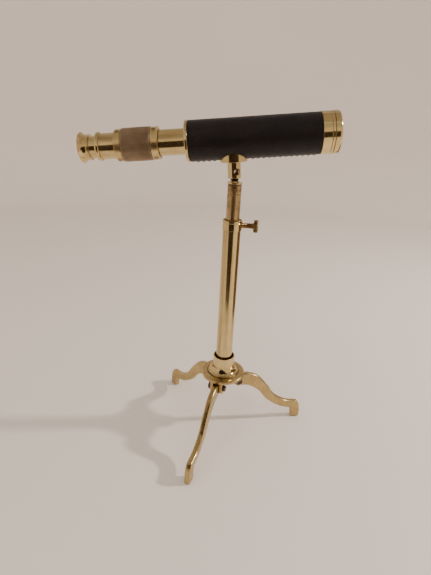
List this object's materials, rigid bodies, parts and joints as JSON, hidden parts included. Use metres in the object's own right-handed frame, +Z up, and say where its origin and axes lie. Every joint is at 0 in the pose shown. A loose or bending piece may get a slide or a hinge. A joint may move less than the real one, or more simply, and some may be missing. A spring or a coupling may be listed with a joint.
{
  "type": "telescope on tripod",
  "caption": "Small brass draw telescope with a leather-covered barrel, on a telescoping column with a ball joint and a tripod of folding curved legs.",
  "frame": {"origin": "centre of the object's box at the plane its feet stand on, 25 mm from the column's axis towards the eyepiece", "axes": "+Z up along the column; +X from the eyepiece towards the objective, seen from above; +Y across the telescope, away from the side the thumbscrew is nearest"},
  "size_m": [0.233, 0.164, 0.3348],
  "materials": {
    "polished_brass": "polished, slightly tarnished brass",
    "aged_brass": "brass with a brown tarnish",
    "knurled_brass": "knurled brass with a satin brown tarnish",
    "dark_steel": "dark oxidised screws and nuts",
    "black_leather": "thin near-black leather, semi-gloss, sewn along the underside",
    "optical_glass": "clear ground glass",
    "liner_plastic": "tan friction liner"
  },
  "bodies": {
    "stand": {"base_disc": "polished_brass", "base_washer": "aged_brass", "base_bolt": "dark_steel", "hinge_screw_1": "dark_steel", "hinge_screw_2": "dark_steel", "hinge_screw_3": "dark_steel", "hinge_nut_1": "dark_steel", "hinge_nut_2": "dark_steel", "hinge_nut_3": "dark_steel", "column_socket": "polished_brass", "column_set_screw": "dark_steel", "column_plug": "aged_brass", "column_tube": "polished_brass", "column_bush": "aged_brass", "column_collar": "polished_brass"},
    "leg_1": {"leg_1": "polished_brass"},
    "leg_2": {"leg_2": "polished_brass"},
    "leg_3": {"leg_3": "polished_brass"},
    "thumb": {"thumb_screw": "aged_brass"},
    "pole": {"inner_pole": "aged_brass", "pole_guide": "aged_brass"},
    "swivel": {"swivel_cap": "polished_brass"},
    "liner": {"ball_liner": "liner_plastic"},
    "telescope": {"ball_stud": "aged_brass", "coupling_sleeve": "polished_brass", "saddle": "polished_brass", "saddle_screw_1": "dark_steel", "saddle_screw_2": "dark_steel", "main_barrel": "polished_brass", "leather_cover": "black_leather", "rear_flange": "polished_brass", "draw_guide": "aged_brass", "objective_cell": "polished_brass", "objective_lens": "optical_glass", "lens_retainer": "aged_brass"},
    "cap": {"dust_cap": "polished_brass"},
    "draw": {"draw_tube": "polished_brass", "draw_stop_ring": "aged_brass", "erector_cell": "aged_brass", "erector_lens_1": "optical_glass", "erector_lens_2": "optical_glass", "focus_housing": "aged_brass", "draw_side_collar": "polished_brass", "eye_side_collar": "polished_brass", "draw_side_screw_1": "polished_brass", "draw_side_screw_2": "polished_brass", "draw_side_screw_3": "polished_brass", "eye_side_screw_1": "polished_brass", "eye_side_screw_2": "polished_brass", "eye_side_screw_3": "polished_brass"},
    "focus": {"focus_ring": "knurled_brass"},
    "eyepiece": {"eyepiece_tube": "polished_brass", "cam_pin": "dark_steel", "eye_ring": "polished_brass", "eyecup": "polished_brass", "eye_lens": "optical_glass", "field_stop": "aged_brass", "field_lens": "optical_glass"}
  },
  "joints": [
    {"name": "leg_1_fold", "type": "hinge", "parent": "stand", "child": "leg_1", "pos_m": [0.03914, 0.01403, 0.0595], "axis": [-0.2261, 0.9741, 0], "range_deg": [0, 50]},
    {"name": "leg_2_fold", "type": "hinge", "parent": "stand", "child": "leg_2", "pos_m": [0.01788, -0.00584, 0.0595], "axis": [0.9567, -0.2912, 0], "range_deg": [0, 50]},
    {"name": "leg_3_fold", "type": "hinge", "parent": "stand", "child": "leg_3", "pos_m": [0.0113, 0.0225, 0.0595], "axis": [-0.7305, -0.6829, 0], "range_deg": [0, 50]},
    {"name": "thumb_turn", "type": "hinge", "parent": "stand", "child": "thumb", "pos_m": [0.04465, 0.00793, 0.2325], "axis": [0.9945, -0.1045, 0], "range_deg": [0, 1080]},
    {"name": "pole_slide", "type": "slide", "parent": "stand", "child": "pole", "axis": [0, 0, 1], "range_m": [-0.033, 0.055]},
    {"name": "ball_pan", "type": "hinge", "parent": "pole", "child": "swivel", "pos_m": [0.02277, 0.01023, 0.2695], "axis": [0, 0, 1], "continuous": true},
    {"name": "ball_cant", "type": "hinge", "parent": "swivel", "child": "liner", "pos_m": [0.02277, 0.01023, 0.2695], "axis": [0.9943, 0, 0.1064], "range_deg": [-10, 10]},
    {"name": "ball_tilt", "type": "hinge", "parent": "liner", "child": "telescope", "pos_m": [0.02277, 0.01023, 0.2695], "axis": [0, 1, 0], "range_deg": [-10, 22]},
    {"name": "cap_off", "type": "slide", "parent": "telescope", "child": "cap", "axis": [0.9943, 0, 0.1064], "range_m": [0, 0.03]},
    {"name": "draw_slide", "type": "slide", "parent": "telescope", "child": "draw", "axis": [0.9943, 0, 0.1064], "range_m": [-0.018, 0.0228]},
    {"name": "focus_turn", "type": "hinge", "parent": "draw", "child": "focus", "pos_m": [-0.06439, 0.01023, 0.29924], "axis": [0.9943, 0, 0.1064], "range_deg": [-100, 100]},
    {"name": "eyepiece_slide", "type": "slide", "parent": "draw", "child": "eyepiece", "axis": [-0.9943, 0, -0.1064], "range_m": [-0.005, 0.005]}
  ],
  "couplings": [
    {"joint": "eyepiece_slide", "follows": "focus_turn", "m_per_rad": 0.00286}
  ]
}
